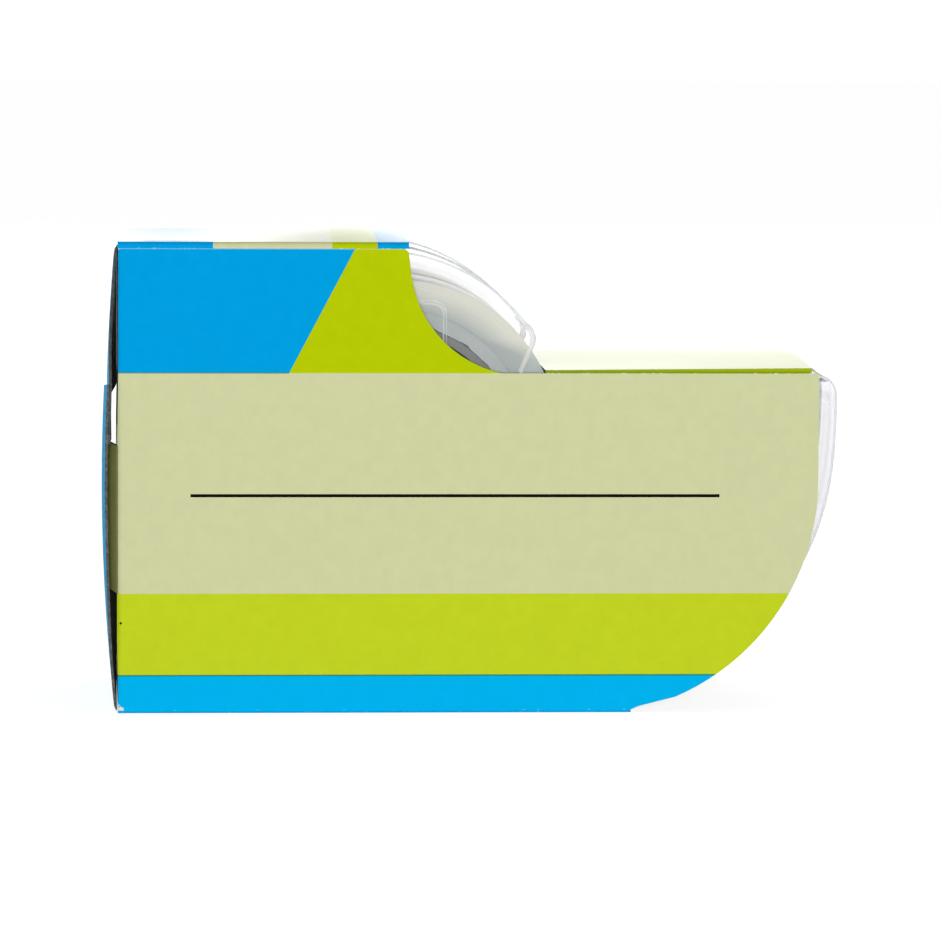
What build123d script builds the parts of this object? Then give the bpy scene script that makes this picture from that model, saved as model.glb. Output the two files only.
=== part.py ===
"""Twin pack of clear hand tape dispensers in a folded card carton.

Millimetres, +Z up. The front of the carton faces -Y and the noses of the dispensers point to +X.
Profiles are drawn in (u, z): u runs to the right from the left edge of the front panel, z up from
the table. The origin is under the middle of the whole pack.
"""

import os

from build123d import *

os.makedirs("parts", exist_ok=True)

# Carton
card = 0.45
carton_depth = 48.0
carton_top = 77.6
shelf_low = 56.15
top_fold = 1.05
base_fold = 0.5
panel_right = 115.35
base_right = 84.6
top_right = 47.6
top_round = 1.0
shelf_left = 70.5
shelf_right = 114.1

# Shelf panel along u: the height of its fold above the front panel's edge, and its bow
shelf_folds = {shelf_left: (0.5, 0.02), shelf_right: (0.85, 0.6)}

# Window curve of the front and back panels
window_start = (48.05, 71.9)
window_middle = (53.5, 61.2)
window_end = (63.0, shelf_low)
back_window_shift = (0.6, 0.4)

# Round lower right corner of the front and back panels, and the slope that leads into it
corner_start_z = 38.1
corner_end = (92.0, 2.6)
slope_end = (85.9, 1.05)

# Bow of the top panel: how far its middle stands above its creases, along u
top_bow = {0.0: 0.02, 20.0: 0.1, 40.0: 1.2, top_right: 0.2}

# End flaps, as three points on the outer face, and their hinge creases
flap_depth = 47.2
outer_flap = [(-0.55, 0.35), (-2.66, 35.4), (-2.3, 54.2)]
inner_flap = [(-0.55, 77.2), (-1.5, 63.7), (-1.85, 41.4)]

# Small side tabs behind the end flaps
tab_low = 19.8
tab_high = 44.1
tab_reach = 11.8
tab_lean = 1.3
tab_round = 2.5

# Tape roll
tape_width = 19.0
roll_center = (46.2, 45.0)
roll_radius = 26.3
core_outer_radius = 21.2
core_inner_radius = 19.05

# Dispenser shell
dispenser_width = 22.8
dispenser_gap = 0.6
plate = 1.2
wall = 0.9
rim_inset = 0.2
shell_bottom = 0.55
shell_left = 14.4
crown_center = (42.6, 45.2)
crown_radius = 31.15
lip_angle = 38.0
lip_bulge = (68.6, 61.9)
lip_end = (68.2, 60.2)
belly_u = 73.4
belly_radius = 44.8
belly_sweep = 84.0
nose_right = 118.5
nose_round = 3.4
platform_top = 55.1
plate_top = 55.9
platform_left = 75.0

# Mouth of the rim, below its end at the lip and behind the platform
rim_end = 62.3
mouth_width = 9.5
mouth_height = 9.8

# Grip notch in the side plates, between the lip and the platform
notch_high = (66.5, 56.1)
notch_low = (70.6, 52.0)

# Spring tongue of the cover plate
tongue_half_width = 7.25
tongue_top = 67.55
tongue_length = 30.0
tongue_round = 1.9
slit = 0.35

# Hub
hub_radius = 18.7
hub_wall = 1.2
hub_end_gap = 0.3

# Cutter and tape tail
blade_left = 109.8
blade_root = 116.5
blade_tip = 117.5
blade_thickness = 0.3
blade_width = 19.8
blade_step = 0.5
teeth = 12
tail_left = 71.0
tail_thickness = 0.15
tail_lap = 0.7

# Worked out from the driving dimensions
flap_bulge = -min(point[0] for point in outer_flap)
middle_u = (nose_right - flap_bulge) / 2
half_depth = carton_depth / 2
inner_width = dispenser_width - 2 * plate


def face_plane(y):
    """Plane of a profile in (u, z) at depth y; a negative extrusion runs towards the back."""
    return Plane(origin=(-middle_u, y, 0), x_dir=(1, 0, 0), z_dir=(0, -1, 0))


def floor_plane(z):
    """Plane of a profile in (u, y) at height z."""
    return Plane(origin=(-middle_u, 0, z), x_dir=(1, 0, 0), z_dir=(0, 0, 1))


def cross_plane(u):
    """Plane of a profile in (y, z), cut across the carton at u."""
    return Plane(origin=(u - middle_u, 0, 0), x_dir=(0, 1, 0), z_dir=(1, 0, 0))


def save(builder, label):
    """Label a finished piece and write it."""
    builder.part.label = label
    export_step(builder.part, f"parts/{label}.step")


def draw_panel_outline(shift=(0.0, 0.0)):
    """Outline of the front and back panels up to their folds, with the window moved by shift."""
    high = carton_top - top_fold
    start = (window_start[0] + shift[0], window_start[1] + shift[1])
    middle = (window_middle[0] + shift[0], window_middle[1] + shift[1])
    end = (window_end[0] + shift[0], shelf_low)
    Line(start, (top_right, high - top_round))
    TangentArc((top_right - top_round, high), (top_right, high - top_round), tangent=(1, 0))
    Polyline((top_right - top_round, high), (0, high), (0, base_fold), (base_right, base_fold))
    Polyline((base_right, base_fold), slope_end, corner_end)
    TangentArc((panel_right, corner_start_z), corner_end, tangent=(0, -1))
    Polyline((panel_right, corner_start_z), (panel_right, shelf_low), end)
    ThreePointArc(end, middle, start)


def draw_crown(start, end, bow):
    """Straight line between two points of equal height, or an arc that stands bow above it."""
    if bow:
        ThreePointArc(start, (0, start[1] + bow), end)
    else:
        Line(start, end)


def draw_folded_panel(level, fold, turn, bow=0.0):
    """Section in (y, z) of a panel whose long edges fold down (turn = -1) or up (turn = 1)."""
    outside = half_depth
    inside = half_depth - card
    flat = half_depth - fold
    end = level + turn * fold
    under = level + turn * card
    TangentArc((-outside, end), (-flat, level), tangent=(0, -turn))
    draw_crown((-flat, level), (flat, level), bow)
    TangentArc((outside, end), (flat, level), tangent=(0, -turn))
    Line((outside, end), (inside, end))
    TangentArc((inside, end), (flat, under), tangent=(0, -turn))
    draw_crown((-flat, under), (flat, under), bow)
    TangentArc((-inside, end), (-flat, under), tangent=(0, -turn))
    Line((-inside, end), (-outside, end))


def draw_shell_outline(top, mouth):
    """Outline of a dispenser from its lip round to its platform, which ends at u = mouth."""
    crown = CenterArc(crown_center, crown_radius, lip_angle, 90 - lip_angle)
    shoulder_radius = crown_center[0] - shell_left
    shoulder_z = crown_center[1] + crown_radius - shoulder_radius
    CenterArc((crown_center[0], shoulder_z), shoulder_radius, 90, 90)
    back_radius = shoulder_z - shell_bottom
    back = CenterArc((shell_left + back_radius, shoulder_z), back_radius, 180, 90)
    belly = CenterArc((belly_u, shell_bottom + belly_radius), belly_radius, 270, belly_sweep)
    Line(back @ 1, belly @ 0)
    nose = TangentArc(belly @ 1, (nose_right, top - nose_round), tangent=belly % 1)
    corner = TangentArc(nose @ 1, (nose_right - nose_round, top), tangent=nose % 1)
    Line(corner @ 1, (mouth, top))
    ThreePointArc(crown @ 0, lip_bulge, lip_end)


def draw_bent_strip(points):
    """Section of a bowed card flap whose outer face runs through three points."""
    inner = [(u + card, z) for u, z in points]
    ThreePointArc(*points)
    Line(points[2], inner[2])
    ThreePointArc(*reversed(inner))
    Line(inner[0], points[0])


def zigzag(root, tip, width):
    """Points of a toothed edge across a strip, from -width/2 to width/2 in y."""
    pitch = width / teeth
    points = [(root, -width / 2)]
    for tooth in range(teeth):
        points.append((tip, (tooth + 0.5) * pitch - width / 2))
        points.append((root, (tooth + 1) * pitch - width / 2))
    return points


# Front and back panels
for label, front_face, shift in (
    ("front_panel", -half_depth, (0.0, 0.0)),
    ("back_panel", half_depth - card, back_window_shift),
):
    with BuildPart() as panel:
        with BuildSketch(face_plane(front_face)):
            with BuildLine():
                draw_panel_outline(shift)
            make_face()
        extrude(amount=-card)
    save(panel, label)

# Top panel, flat at the end flaps and bowed upwards near its free end
with BuildPart() as top_panel:
    for u, bow in top_bow.items():
        with BuildSketch(cross_plane(u)):
            with BuildLine():
                draw_folded_panel(carton_top, top_fold, -1, bow)
            make_face()
    loft()
save(top_panel, "top_panel")

# Shelf panel over the tape platforms
with BuildPart() as shelf_panel:
    for u, (fold, bow) in shelf_folds.items():
        with BuildSketch(cross_plane(u)):
            with BuildLine():
                draw_folded_panel(shelf_low + fold, fold, -1, bow)
            make_face()
    loft()
save(shelf_panel, "shelf_panel")

# Base panel
with BuildPart() as base_panel:
    with BuildSketch(cross_plane(0)):
        with BuildLine():
            draw_folded_panel(0, base_fold, 1)
        make_face()
    extrude(amount=base_right)
save(base_panel, "base_panel")

# Side tabs, folded in behind the end flaps and leaning out a little
for label, side in (("front_side_tab", -1), ("back_side_tab", 1)):
    root = side * (half_depth - card)
    reach = root - side * tab_reach
    with BuildPart() as side_tab:
        with BuildSketch(floor_plane(tab_low)):
            with BuildLine():
                Polyline((0, root), (card, root), (card - tab_lean, reach), (-tab_lean, reach), close=True)
            make_face()
        extrude(amount=tab_high - tab_low)
        tip_corners = side_tab.edges().filter_by(Axis.X).group_by(Axis.Y)[0 if side > 0 else -1]
        fillet(tip_corners, tab_round)
    save(side_tab, label)

# End flaps
for label, points in (("outer_end_flap", outer_flap), ("inner_end_flap", inner_flap)):
    with BuildPart() as end_flap:
        with BuildSketch(face_plane(-flap_depth / 2)):
            with BuildLine():
                draw_bent_strip(points)
            make_face()
        extrude(amount=-flap_depth)
    save(end_flap, label)

# The two dispensers, near and far, each from its cover plate back
for name, cover_y in (
    ("near", -dispenser_gap / 2 - dispenser_width),
    ("far", dispenser_gap / 2),
):
    inside_y = cover_y + plate
    middle_y = cover_y + dispenser_width / 2
    back_y = inside_y + inner_width

    # Side plates: the cover has a spring tongue, cut free by a slit on three sides
    for label, plate_y in (("cover_plate", cover_y), ("back_plate", back_y)):
        with BuildPart() as side_plate:
            with BuildSketch(face_plane(plate_y)):
                with BuildLine():
                    draw_shell_outline(plate_top, platform_left)
                    ThreePointArc((platform_left, plate_top), notch_low, notch_high)
                    Line(notch_high, lip_end)
                make_face()
                if label == "cover_plate":
                    with Locations((roll_center[0], tongue_top - tongue_length / 2)):
                        slit_width = 2 * (tongue_half_width + slit)
                        slit_height = tongue_length + 2 * slit
                        RectangleRounded(slit_width, slit_height, tongue_round + slit, mode=Mode.SUBTRACT)
                        RectangleRounded(2 * tongue_half_width, tongue_length, tongue_round)
                    with Locations((roll_center[0], tongue_top - tongue_length)):
                        Rectangle(slit_width, 4 * tongue_round)
            extrude(amount=-plate)
        save(side_plate, f"{name}_{label}")

    # Rim with the tape platform, open between the lip and the platform
    with BuildPart() as rim:
        with BuildSketch(face_plane(inside_y)):
            with BuildLine():
                draw_shell_outline(platform_top + rim_inset, platform_left)
                Line((platform_left, platform_top + rim_inset), lip_end)
            make_face()
            offset(amount=-rim_inset)
            offset(amount=-wall, mode=Mode.SUBTRACT)
            with Locations((platform_left, rim_end)):
                Rectangle(mouth_width, mouth_height, align=(Align.MAX, Align.MAX), mode=Mode.SUBTRACT)
        extrude(amount=-inner_width)
        with BuildSketch(face_plane(inside_y)):
            with Locations((nose_right, platform_top)):
                Rectangle(2 * (nose_right - blade_left), 2 * blade_step)
        extrude(amount=-inner_width, mode=Mode.SUBTRACT)
    save(rim, f"{name}_rim")

    # Hub ring on the back plate
    with BuildPart() as hub:
        with BuildSketch(face_plane(back_y)):
            with Locations(roll_center):
                Circle(hub_radius)
                Circle(hub_radius - hub_wall, mode=Mode.SUBTRACT)
        extrude(amount=inner_width - hub_end_gap)
    save(hub, f"{name}_hub")

    # Toothed blade in the step at the front of the platform
    blade_z = platform_top - blade_step
    with BuildPart() as cutter:
        with BuildSketch(Plane(origin=(-middle_u, middle_y, blade_z), x_dir=(1, 0, 0), z_dir=(0, 0, 1))):
            with BuildLine():
                edge = zigzag(blade_root, blade_tip, blade_width)
                Polyline((blade_left, -blade_width / 2), *edge, (blade_left, blade_width / 2), close=True)
            make_face()
        extrude(amount=blade_thickness)
    save(cutter, f"{name}_cutter")

    # Free end of the tape, torn off along the teeth
    with BuildPart() as tape_tail:
        with BuildSketch(Plane(origin=(-middle_u, middle_y, platform_top), x_dir=(1, 0, 0), z_dir=(0, 0, 1))):
            with BuildLine():
                edge = zigzag(blade_root - tail_lap, blade_tip - tail_lap, tape_width)
                Polyline((tail_left, -tape_width / 2), *edge, (tail_left, tape_width / 2), close=True)
            make_face()
        extrude(amount=tail_thickness)
    save(tape_tail, f"{name}_tape_tail")

    # Core and wound tape
    for label, outer, inner in (
        ("core", core_outer_radius, core_inner_radius),
        ("tape_roll", roll_radius, core_outer_radius),
    ):
        with BuildPart() as ring:
            with BuildSketch(face_plane(middle_y - tape_width / 2)):
                with Locations(roll_center):
                    Circle(outer)
                    Circle(inner, mode=Mode.SUBTRACT)
            extrude(amount=-tape_width)
        save(ring, f"{name}_{label}")

print(f"pack {nose_right + flap_bulge:.1f} wide, {carton_depth:.1f} deep, middle at u = {middle_u:.3f}")
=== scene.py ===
import math

import bpy
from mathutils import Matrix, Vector


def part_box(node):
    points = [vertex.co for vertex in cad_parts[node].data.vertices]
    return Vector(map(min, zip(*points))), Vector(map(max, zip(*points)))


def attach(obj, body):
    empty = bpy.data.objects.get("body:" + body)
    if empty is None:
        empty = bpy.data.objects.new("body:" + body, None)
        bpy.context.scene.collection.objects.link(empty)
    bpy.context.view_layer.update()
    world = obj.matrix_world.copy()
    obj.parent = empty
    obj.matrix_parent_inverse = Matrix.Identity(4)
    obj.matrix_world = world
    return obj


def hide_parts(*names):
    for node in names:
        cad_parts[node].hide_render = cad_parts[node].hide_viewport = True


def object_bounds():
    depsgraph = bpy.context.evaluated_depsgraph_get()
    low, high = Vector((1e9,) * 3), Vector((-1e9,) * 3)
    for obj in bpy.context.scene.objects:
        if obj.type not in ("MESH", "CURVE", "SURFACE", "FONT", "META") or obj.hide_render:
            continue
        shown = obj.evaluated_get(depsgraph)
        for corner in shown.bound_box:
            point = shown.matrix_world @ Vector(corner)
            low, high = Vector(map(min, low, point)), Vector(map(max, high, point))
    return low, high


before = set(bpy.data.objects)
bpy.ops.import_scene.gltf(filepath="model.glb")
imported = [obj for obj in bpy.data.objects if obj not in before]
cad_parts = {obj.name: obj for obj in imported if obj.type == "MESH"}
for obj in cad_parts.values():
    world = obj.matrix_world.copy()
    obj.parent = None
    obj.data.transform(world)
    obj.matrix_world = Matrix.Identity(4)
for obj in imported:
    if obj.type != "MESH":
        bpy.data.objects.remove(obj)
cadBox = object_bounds()
print("frame loaded with", len(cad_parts), "CAD nodes")

mm = 0.001
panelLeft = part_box("front_panel")[0].x  # u = 0, the left edge of the front panel
midHeight = 0.5 * (cadBox[0][2] + cadBox[1][2])
mergeGap = 0.002 * mm  # points nearer than this are one point
flatAngle = 0.2  # degrees, faces that differ less are one face
smoothAngles = {"card": 40, "plastic": 30, "ring": 25}


def deselectAll():
    bpy.ops.object.select_all(action="DESELECT")


def makeActive(piece):
    deselectAll()
    piece.select_set(True)
    bpy.context.view_layer.objects.active = piece


def srgb(red, green, blue):
    # colour as seen on screen, 0 to 255, to the shader's linear values
    linear = []
    for value in (red, green, blue):
        share = value / 255
        linear.append(share / 12.92 if share <= 0.04045 else ((share + 0.055) / 1.055) ** 2.4)
    return (*linear, 1.0)


# Mesh helpers

def cleanCopy(node, name):
    # own copy of a CAD node, merged into flat faces, ready to be shaped
    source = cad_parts[node]
    piece = source.copy()
    piece.data = source.data.copy()
    piece.name = name
    piece.data.name = name
    piece.parent = None
    for key in list(piece.keys()):
        del piece[key]
    bpy.context.scene.collection.objects.link(piece)
    piece.data.materials.clear()
    makeActive(piece)
    bpy.ops.mesh.customdata_custom_splitnormals_clear()
    bpy.ops.object.mode_set(mode="EDIT")
    bpy.ops.mesh.select_all(action="SELECT")
    bpy.ops.mesh.remove_doubles(threshold=mergeGap)
    bpy.ops.mesh.dissolve_limited(angle_limit=math.radians(flatAngle))
    bpy.ops.object.mode_set(mode="OBJECT")
    return piece


def selectFaces(piece, test):
    # leaves the piece in edit mode with only the faces that pass the test selected
    makeActive(piece)
    bpy.ops.object.mode_set(mode="EDIT")
    bpy.ops.mesh.select_mode(type="FACE")
    bpy.ops.mesh.select_all(action="DESELECT")
    bpy.ops.object.mode_set(mode="OBJECT")
    for face in piece.data.polygons:
        face.select = test(face)
    bpy.ops.object.mode_set(mode="EDIT")


def applyModifier(piece, kind, **settings):
    makeActive(piece)
    modifier = piece.modifiers.new(kind.lower(), kind)
    for key, value in settings.items():
        setattr(modifier, key, value)
    bpy.ops.object.modifier_apply(modifier=modifier.name)


def joinSolid(piece, other):
    applyModifier(
        piece, "BOOLEAN", object=other, operation="UNION", solver="EXACT", material_mode="TRANSFER",
    )
    bpy.data.objects.remove(other)


def smoothByAngle(piece, angle):
    makeActive(piece)
    bpy.ops.object.shade_smooth_by_angle(angle=math.radians(angle))


def cutAcross(piece, direction, places):
    # extra edges across a piece, so that it can bend or change its material
    makeActive(piece)
    bpy.ops.object.mode_set(mode="EDIT")
    bpy.ops.mesh.select_mode(type="FACE")
    for place in places:
        bpy.ops.mesh.select_all(action="SELECT")
        bpy.ops.mesh.bisect(plane_co=Vector(direction) * place, plane_no=direction)
    bpy.ops.object.mode_set(mode="OBJECT")


def slide(value, low, high):
    # 0 at low, 1 at high, smooth between
    share = min(max((value - low) / (high - low), 0.0), 1.0)
    return share * share * (3 - 2 * share)


def settle(piece, body, slot, *nodes):
    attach(piece, body)
    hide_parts(*nodes)


# Shader helpers

def newNode(tree, kind, **settings):
    node = tree.nodes.new(kind)
    for key, value in settings.items():
        setattr(node, key, value)
    return node


def feed(tree, socket, value):
    if isinstance(value, bpy.types.NodeSocket):
        tree.links.new(value, socket)
    else:
        socket.default_value = value


def calc(tree, operation, first, second=0.0, third=0.0):
    node = newNode(tree, "ShaderNodeMath", operation=operation)
    for socket, value in zip(node.inputs, (first, second, third)):
        feed(tree, socket, value)
    return node.outputs[0]


def times(tree, first, second):
    return calc(tree, "MULTIPLY", first, second)


def near(tree, value, place, half):
    # 1 within half of place
    return calc(tree, "COMPARE", value, place, half)


def distance(tree, across, upward):
    squares = calc(tree, "ADD", calc(tree, "POWER", across, 2.0), calc(tree, "POWER", upward, 2.0))
    return calc(tree, "SQRT", squares)


def ramp(tree, value, low, high):
    # 0 at low, 1 at high, smooth between
    node = newNode(tree, "ShaderNodeMapRange", interpolation_type="SMOOTHSTEP")
    feed(tree, node.inputs["Value"], value)
    node.inputs["From Min"].default_value = low
    node.inputs["From Max"].default_value = high
    return node.outputs["Result"]


def mixColor(tree, factor, first, second):
    node = newNode(tree, "ShaderNodeMix", data_type="RGBA")
    feed(tree, node.inputs[0], factor)
    feed(tree, node.inputs[6], first)
    feed(tree, node.inputs[7], second)
    return node.outputs[2]


def scaleColor(tree, color, amount):
    node = newNode(tree, "ShaderNodeVectorMath", operation="SCALE")
    tree.links.new(color, node.inputs[0])
    tree.links.new(amount, node.inputs["Scale"])
    return node.outputs["Vector"]


def noise(tree, scale, detail, stretch=(1, 1, 1)):
    coordinates = newNode(tree, "ShaderNodeTexCoord")
    mapping = newNode(tree, "ShaderNodeMapping")
    mapping.inputs["Scale"].default_value = stretch
    tree.links.new(coordinates.outputs["Object"], mapping.inputs["Vector"])
    node = newNode(tree, "ShaderNodeTexNoise")
    node.inputs["Scale"].default_value = scale
    node.inputs["Detail"].default_value = detail
    tree.links.new(mapping.outputs["Vector"], node.inputs["Vector"])
    return node.outputs["Fac"]


def placeOnCarton(tree):
    # u from the front panel's left edge, y from the middle, z from the table, in millimetres
    coordinates = newNode(tree, "ShaderNodeTexCoord")
    split = newNode(tree, "ShaderNodeSeparateXYZ")
    tree.links.new(coordinates.outputs["Object"], split.inputs["Vector"])
    u = times(tree, calc(tree, "SUBTRACT", split.outputs["X"], panelLeft), 1 / mm)
    y = times(tree, split.outputs["Y"], 1 / mm)
    z = times(tree, split.outputs["Z"], 1 / mm)
    return u, y, z


def setBump(tree, shader, height, strength, depth):
    bump = newNode(tree, "ShaderNodeBump")
    bump.inputs["Strength"].default_value = strength
    bump.inputs["Distance"].default_value = depth
    tree.links.new(height, bump.inputs["Height"])
    tree.links.new(bump.outputs["Normal"], shader.inputs["Normal"])


def setRoughness(tree, shader, value, spread, base):
    tree.links.new(calc(tree, "MULTIPLY_ADD", value, spread, base), shader.inputs["Roughness"])


def newMaterial(name):
    material = bpy.data.materials.new(name)
    material.use_nodes = True
    tree = material.node_tree
    return material, tree, tree.nodes["Principled BSDF"]


def newGroup(name, inputs, outputs):
    group = bpy.data.node_groups.new(name, "ShaderNodeTree")
    for label, kind in inputs:
        group.interface.new_socket(label, in_out="INPUT", socket_type=kind)
    for label, kind in outputs:
        group.interface.new_socket(label, in_out="OUTPUT", socket_type=kind)
    return group, newNode(group, "NodeGroupInput"), newNode(group, "NodeGroupOutput")


# Coated card: ink with a little mottle, fibres under the coating, and ink rubbed off where it is scuffed

cardLook = {
    "paper": srgb(236, 233, 226),
    "mottleNoise": (520, 5),
    "fibreNoise": (3200, 3, (1, 1, 0.45)),
    "scuffNoise": (1700, 6),
    "mottleShade": (0.10, 0.95),  # how much the mottle adds, and the level it adds to
    "mottleRough": (0.3, 0.85),
    "rubbedFrom": (1.02, 1.16),
    "rubbedRough": 0.3,
    "rubbedDepth": -0.8,
    "gloss": 0.5,
    "specular": 0.02,
    "grain": 0.35,
    "bump": 0.05 * mm,
    "coatRoughness": 0.08,
}


def makeCardFinish():
    group, inside, outside = newGroup(
        "cardFinish",
        [("Ink", "NodeSocketColor"), ("Scuff", "NodeSocketFloat"), ("Gloss", "NodeSocketFloat")],
        [("Color", "NodeSocketColor"), ("Roughness", "NodeSocketFloat"), ("Height", "NodeSocketFloat")],
    )
    mottle = noise(group, *cardLook["mottleNoise"])
    fibre = noise(group, *cardLook["fibreNoise"])
    flake = noise(group, *cardLook["scuffNoise"])
    shade = calc(group, "MULTIPLY_ADD", mottle, *cardLook["mottleShade"])
    inked = scaleColor(group, inside.outputs["Ink"], shade)
    rubbed = ramp(group, calc(group, "ADD", flake, inside.outputs["Scuff"]), *cardLook["rubbedFrom"])
    color = mixColor(group, rubbed, inked, cardLook["paper"])
    smooth = calc(group, "SUBTRACT", 1.0, inside.outputs["Gloss"])
    rough = times(group, smooth, calc(group, "MULTIPLY_ADD", mottle, *cardLook["mottleRough"]))
    rough = calc(group, "MULTIPLY_ADD", rubbed, cardLook["rubbedRough"], rough)
    height = calc(group, "MULTIPLY_ADD", rubbed, cardLook["rubbedDepth"], fibre)
    group.links.new(color, outside.inputs["Color"])
    group.links.new(rough, outside.inputs["Roughness"])
    group.links.new(height, outside.inputs["Height"])
    return group


cardFinish = makeCardFinish()


def finishCard(material, tree, shader, ink, scuff, sheen=0.0):
    group = newNode(tree, "ShaderNodeGroup", node_tree=cardFinish)
    feed(tree, group.inputs["Ink"], ink)
    feed(tree, group.inputs["Scuff"], scuff)
    group.inputs["Gloss"].default_value = cardLook["gloss"]
    setBump(tree, shader, group.outputs["Height"], cardLook["grain"], cardLook["bump"])
    tree.links.new(group.outputs["Color"], shader.inputs["Base Color"])
    tree.links.new(group.outputs["Roughness"], shader.inputs["Roughness"])
    shader.inputs["Specular IOR Level"].default_value = cardLook["specular"]
    feed(tree, shader.inputs["Coat Weight"], sheen)
    shader.inputs["Coat Roughness"].default_value = cardLook["coatRoughness"]
    return material


# Print of the front and back panels, in millimetres

frontPrint = {
    "topEdge": 56.15,
    "limeTop": 19.77,
    "blueTop": 6.25,
    "slantFoot": 28.0,
    "slantRun": 0.527,
    "trapLine": 0.13,  # half the width of the darker line where two inks overlap
    "topTrap": 0.55,
    "blueTrap": 0.8,
    "ruleHeight": 35.95,
    "ruleHalf": 0.26,
    "ruleEnds": (11.85, 99.0),
    "creaseHeight": 76.48,
    "creaseHalf": 0.06,
    "creaseShare": 0.22,
    "speck": (0.45, 14.9, 0.2),
    "blue": srgb(0, 160, 226),
    "lime": srgb(183, 202, 5),
    "beige": srgb(209, 212, 164),
    "lowLime": srgb(195, 212, 36),
    "lowBlue": srgb(1, 180, 240),
    # the side tabs' ink is paler than the front's lime: painted light that lifts the deep shade the tabs sit
    # in
    "tab": srgb(206, 211, 129),
    # darker lime for the shelf's fold: painted shade of the crease
    "foldShadeLime": srgb(126, 150, 10),
    "trap": srgb(12, 118, 96),
    "black": srgb(18, 16, 14),
}
frontScuffs = {
    "topRise": (76.4, 76.53), "topShare": 0.36,
    "shelfRise": (55.98, 56.12), "shelfStart": (69.5, 71.0), "shelfShare": 0.5,
    "baseRise": (0.9, 0.45), "baseShare": 0.45,
    "lowSlope": 1.2, "lowRise": (3.2, 1.2),
    "highTop": 76.6, "highSlope": 2.0, "highRise": (1.3, 0.3),
    "cornerShare": 0.68,
}


def scuffFront(tree, u, z):
    # along the folds, and at the two corners on the left
    spec = frontScuffs
    top = times(tree, ramp(tree, z, *spec["topRise"]), spec["topShare"])
    alongShelf = times(tree, ramp(tree, z, *spec["shelfRise"]), ramp(tree, u, *spec["shelfStart"]))
    shelf = times(tree, alongShelf, spec["shelfShare"])
    base = times(tree, ramp(tree, z, *spec["baseRise"]), spec["baseShare"])
    low = calc(tree, "MULTIPLY_ADD", z, spec["lowSlope"], u)
    high = calc(tree, "MULTIPLY_ADD", calc(tree, "SUBTRACT", spec["highTop"], z), spec["highSlope"], u)
    corners = calc(tree, "MAXIMUM", ramp(tree, low, *spec["lowRise"]), ramp(tree, high, *spec["highRise"]))
    edges = calc(tree, "MAXIMUM", calc(tree, "MAXIMUM", top, shelf), base)
    return calc(tree, "MAXIMUM", edges, times(tree, corners, spec["cornerShare"]))


def makeFrontCard():
    material, tree, shader = newMaterial("printedFrontCard")
    u, _, z = placeOnCarton(tree)
    spec = frontPrint
    aboveEdge = calc(tree, "SUBTRACT", z, spec["topEdge"])
    slant = calc(tree, "MULTIPLY_ADD", aboveEdge, spec["slantRun"], spec["slantFoot"])
    leftOfSlant = calc(tree, "LESS_THAN", u, slant)
    topInk = mixColor(tree, leftOfSlant, spec["lime"], spec["blue"])
    ink = mixColor(tree, calc(tree, "GREATER_THAN", z, spec["topEdge"]), spec["beige"], topInk)
    ink = mixColor(tree, calc(tree, "LESS_THAN", z, spec["limeTop"]), ink, spec["lowLime"])
    ink = mixColor(tree, calc(tree, "LESS_THAN", z, spec["blueTop"]), ink, spec["lowBlue"])
    blueLine = near(tree, z, spec["blueTop"], spec["trapLine"])
    ink = mixColor(tree, times(tree, blueLine, spec["blueTrap"]), ink, spec["trap"])
    topLine = times(tree, near(tree, z, spec["topEdge"], spec["trapLine"]), leftOfSlant)
    ink = mixColor(tree, times(tree, topLine, spec["topTrap"]), ink, spec["trap"])
    afterStart = calc(tree, "GREATER_THAN", u, spec["ruleEnds"][0])
    beforeEnd = calc(tree, "LESS_THAN", u, spec["ruleEnds"][1])
    ruleSpan = times(tree, afterStart, beforeEnd)
    rule = times(tree, near(tree, z, spec["ruleHeight"], spec["ruleHalf"]), ruleSpan)
    ink = mixColor(tree, rule, ink, spec["black"])
    crease = times(tree, near(tree, z, spec["creaseHeight"], spec["creaseHalf"]), spec["creaseShare"])
    ink = mixColor(tree, crease, ink, cardLook["paper"])
    speckU, speckZ, speckRadius = spec["speck"]
    fromSpeck = distance(tree, calc(tree, "SUBTRACT", u, speckU), calc(tree, "SUBTRACT", z, speckZ))
    ink = mixColor(tree, calc(tree, "LESS_THAN", fromSpeck, speckRadius), ink, spec["black"])
    return finishCard(material, tree, shader, ink, scuffFront(tree, u, z))


# Plainer prints: the top in stripes across, the shelf with painted shade along its fold, and single inks

topPrint = {
    "blueEnd": 15.5, "beigeEnd": 35.0, "limeEnd": 42.4,
    "foldScuff": (76.75, 76.57), "foldShare": 0.5, "leftScuff": (0.5, 0.0), "leftShare": 0.4,
    "flat": (23.2, 22.9),  # the flat of the panel ends at its folds
    "sheen": 0.66, "sheenChange": -0.09, "changeRun": (18.0, 40.0),
}
shelfPrint = {
    "start": 70.5, "length": 43.6, "foldTop": 56.51, "foldGrowth": 0.35,  # the fold grows along u
    "flat": (-0.08, 0.12), "foldScuff": (56.35, 56.17), "foldShare": 0.5, "foldShadeRun": (56.95, 56.2),
    "sheen": 0.64, "sheenChange": -0.08, "changeRun": (-20.0, 0.0),
}
bluePrint = {"foldScuff": (0.6, 0.1), "foldShare": 0.4, "sheenRise": (74.0, 76.6)}


def scuffFold(tree, z, spec):
    return times(tree, ramp(tree, z, *spec["foldScuff"]), spec["foldShare"])


def fadeSheen(tree, place, spec):
    along = ramp(tree, place, *spec["changeRun"])
    return calc(tree, "MULTIPLY_ADD", along, spec["sheenChange"], spec["sheen"])


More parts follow.
